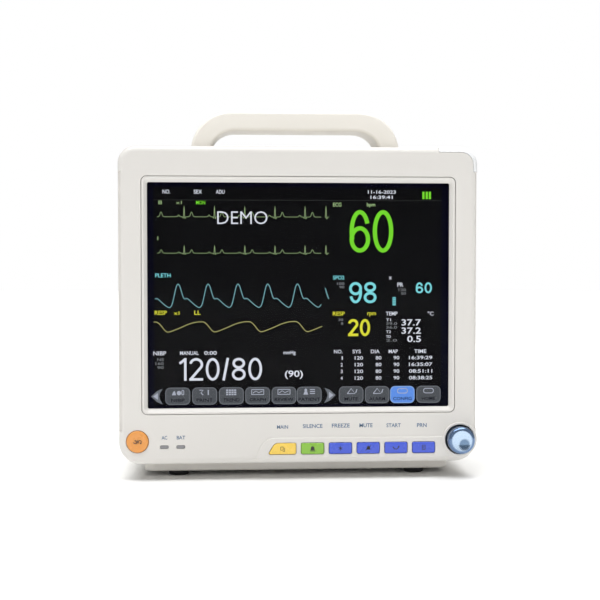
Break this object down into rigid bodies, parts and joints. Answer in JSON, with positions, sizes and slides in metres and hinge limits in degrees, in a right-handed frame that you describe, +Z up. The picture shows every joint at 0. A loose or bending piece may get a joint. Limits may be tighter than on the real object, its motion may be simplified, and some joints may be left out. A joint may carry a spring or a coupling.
{
  "type": "patient monitor",
  "caption": "Bedside patient monitor with a screen in a rounded bezel, keys, rotary knob, alarm lamp, carry handle, side sockets and a strip recorder.",
  "frame": {"origin": "on the table under the middle of the monitor, at the bottom centre of its bounding box", "axes": "+X to the viewer's right, -Y the way the screen faces, +Z up"},
  "size_m": [0.308, 0.152, 0.32],
  "materials": {
    "casing": "fine-grained moulded plastic, warm off-white",
    "lens": "milky translucent lamp lens",
    "board": "solder-masked circuit board",
    "screen_glass": "glossy clear cover over a black panel",
    "panel": "display module with a metal rim",
    "steel": "plated sheet steel",
    "key_blue": "satin blue",
    "key_green": "satin green",
    "key_yellow": "satin yellow",
    "key_orange": "satin orange",
    "window_grey": "satin grey",
    "knob_silver": "polished blue-silver",
    "black_plastic": "fine-grained black",
    "socket_blue": "satin blue",
    "brass": "turned and plated",
    "rubber": "matt black",
    "paper": "thermal paper, smooth"
  },
  "bodies": {
    "monitor": {"front_bezel": "casing", "alarm_lens": "lens", "alarm_light_board": "board", "display_frame": "casing", "screen_cover": "screen_glass", "lcd_panel": "panel", "lcd_bracket": "steel", "key_board": "board", "power_button_board": "board", "ac_indicator_window": "window_grey", "battery_indicator_window": "window_grey", "encoder_body": "steel", "rear_housing": "casing", "mains_inlet": "black_plastic", "fuse_holder": "black_plastic", "network_socket": "steel", "video_socket": "socket_blue", "ground_stud": "brass", "carry_handle": "casing", "foot_front_left": "rubber", "foot_front_right": "rubber", "foot_rear_left": "rubber", "foot_rear_right": "rubber", "connector_panel": "black_plastic", "ecg_socket": "window_grey", "oxygen_socket": "socket_blue", "cuff_port": "steel", "temperature_socket_1": "black_plastic", "temperature_socket_2": "black_plastic", "recorder_case": "black_plastic", "recorder_hinge_pin": "steel", "print_head": "steel", "battery_bay": "black_plastic", "battery_hinge_pin": "steel", "battery_pack": "window_grey", "main_board": "board", "parameter_module": "steel", "power_supply_board": "board", "cuff_pump": "steel", "cooling_fan_case": "black_plastic", "speaker": "black_plastic", "housing_screw_upper_left": "steel", "housing_screw_upper_right": "steel", "housing_screw_lower_left": "steel", "housing_screw_lower_right": "steel"},
    "power_button": {"power_button": "key_orange"},
    "encoder_push": {"encoder_plunger": "black_plastic"},
    "knob": {"control_knob": "knob_silver", "encoder_shaft": "steel"},
    "recorder_door": {"recorder_door": "casing"},
    "platen_roller": {"platen_roller": "rubber"},
    "paper_roll": {"paper_roll": "paper"},
    "battery_door": {"battery_door": "casing"},
    "cooling_fan_rotor": {"cooling_fan_rotor": "black_plastic"},
    "key_main": {"key_main": "key_yellow"},
    "key_silence": {"key_silence": "key_green"},
    "key_freeze": {"key_freeze": "key_blue"},
    "key_mute": {"key_mute": "key_blue"},
    "key_start": {"key_start": "key_blue"},
    "key_print": {"key_print": "key_blue"}
  },
  "joints": [
    {"name": "key_main_press", "type": "slide", "parent": "monitor", "child": "key_main", "axis": [0, 1, 0], "range_m": [0, 0.001], "stiffness_N_per_m": 900},
    {"name": "key_silence_press", "type": "slide", "parent": "monitor", "child": "key_silence", "axis": [0, 1, 0], "range_m": [0, 0.001], "stiffness_N_per_m": 900},
    {"name": "key_freeze_press", "type": "slide", "parent": "monitor", "child": "key_freeze", "axis": [0, 1, 0], "range_m": [0, 0.001], "stiffness_N_per_m": 900},
    {"name": "key_mute_press", "type": "slide", "parent": "monitor", "child": "key_mute", "axis": [0, 1, 0], "range_m": [0, 0.001], "stiffness_N_per_m": 900},
    {"name": "key_start_press", "type": "slide", "parent": "monitor", "child": "key_start", "axis": [0, 1, 0], "range_m": [0, 0.001], "stiffness_N_per_m": 900},
    {"name": "key_print_press", "type": "slide", "parent": "monitor", "child": "key_print", "axis": [0, 1, 0], "range_m": [0, 0.001], "stiffness_N_per_m": 900},
    {"name": "power_button_press", "type": "slide", "parent": "monitor", "child": "power_button", "axis": [0, 1, 0], "range_m": [0, 0.0012], "stiffness_N_per_m": 1200},
    {"name": "knob_press", "type": "slide", "parent": "monitor", "child": "encoder_push", "axis": [0, 1, 0], "range_m": [0, 0.0008], "stiffness_N_per_m": 3000},
    {"name": "knob_spin", "type": "hinge", "parent": "encoder_push", "child": "knob", "pos_m": [0.1385, -0.064, 0.0335], "axis": [0, 1, 0], "continuous": true},
    {"name": "recorder_door_hinge", "type": "hinge", "parent": "monitor", "child": "recorder_door", "pos_m": [0.152, -0.002, 0.1438], "axis": [0, 1, 0], "range_deg": [0, 80]},
    {"name": "platen_spin", "type": "hinge", "parent": "recorder_door", "child": "platen_roller", "pos_m": [0.1436, -0.002, 0.219], "axis": [0, 1, 0], "continuous": true},
    {"name": "paper_spin", "type": "hinge", "parent": "monitor", "child": "paper_roll", "pos_m": [0.129, -0.002, 0.162], "axis": [0, 1, 0], "continuous": true},
    {"name": "battery_door_hinge", "type": "hinge", "parent": "monitor", "child": "battery_door", "pos_m": [0.152, 0.0202, 0.104], "axis": [0, 0, 1], "range_deg": [0, 95]},
    {"name": "fan_spin", "type": "hinge", "parent": "monitor", "child": "cooling_fan_rotor", "pos_m": [0.062, 0.064, 0.214], "axis": [0, 1, 0], "continuous": true}
  ],
  "couplings": [
    {"joint": "paper_spin", "follows": "platen_spin", "ratio": -0.2778}
  ]
}
